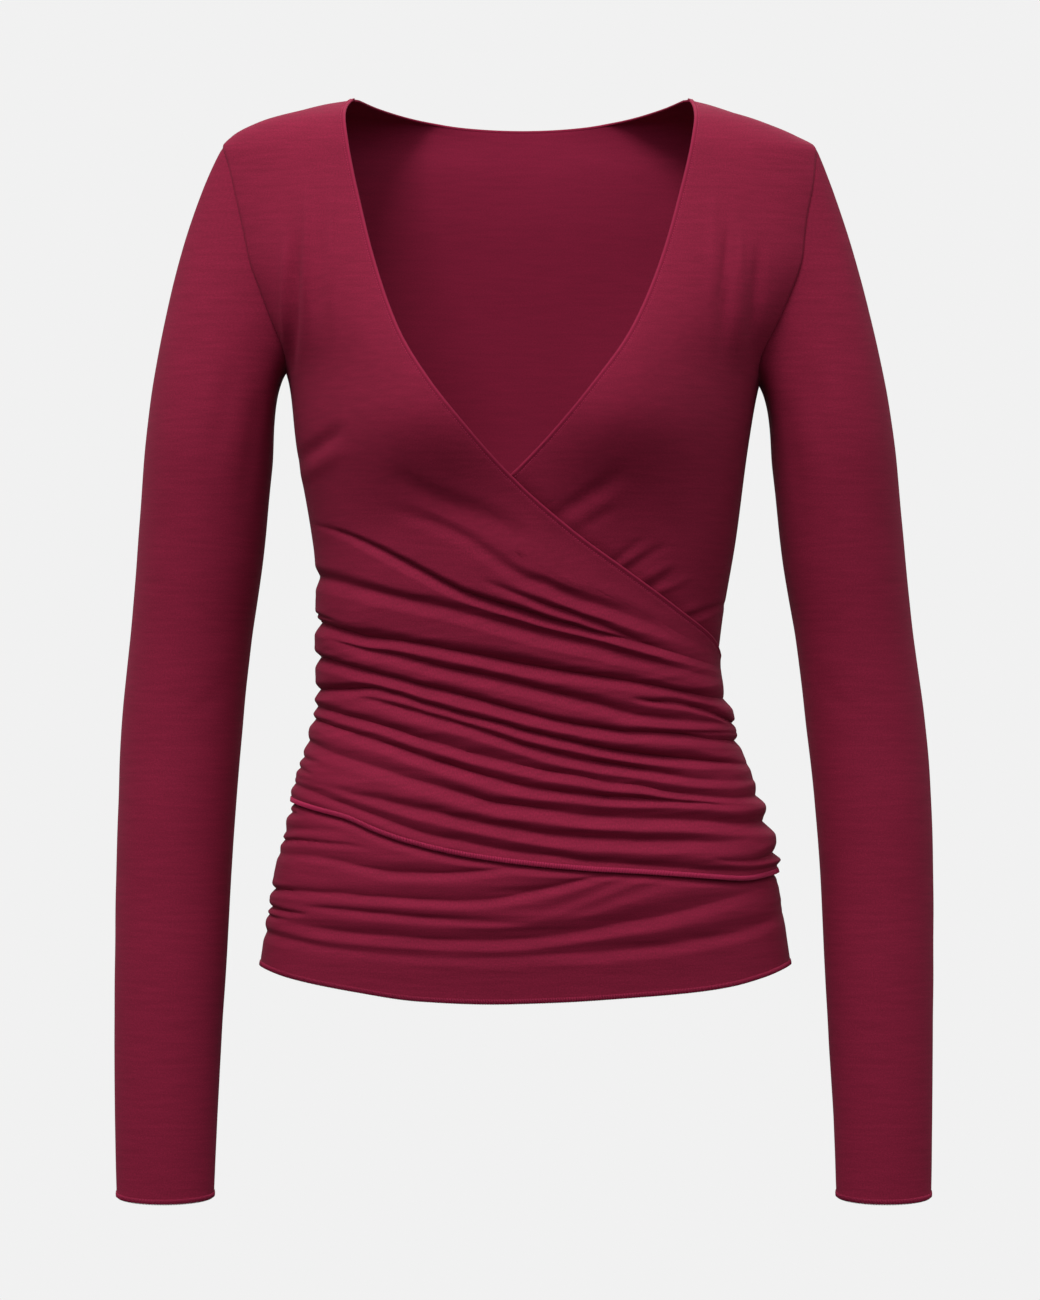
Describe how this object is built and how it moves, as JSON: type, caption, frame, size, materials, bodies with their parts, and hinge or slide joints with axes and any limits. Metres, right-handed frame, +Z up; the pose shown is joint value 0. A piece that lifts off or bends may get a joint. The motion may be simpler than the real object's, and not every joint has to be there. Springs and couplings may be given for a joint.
{
  "type": "wrap jacket",
  "caption": "Long-sleeved wrap jacket in thin jersey, worn form: deep V neck, a lapped front gathered into the side seams, slim sleeves.",
  "frame": {"origin": "midway between the two neck points, on the shoulder line that carries the garment", "axes": "+Z up, the front at -Y, the wearer's right at -X"},
  "size_m": [0.4897, 0.2217, 0.6606],
  "materials": {
    "jersey": "fine crimson jersey, matt with a soft sheen"
  },
  "bodies": {
    "root": {"back": "jersey", "left_front": "jersey", "right_front": "jersey", "left_sleeve": "jersey", "right_sleeve": "jersey"}
  },
  "joints": []
}
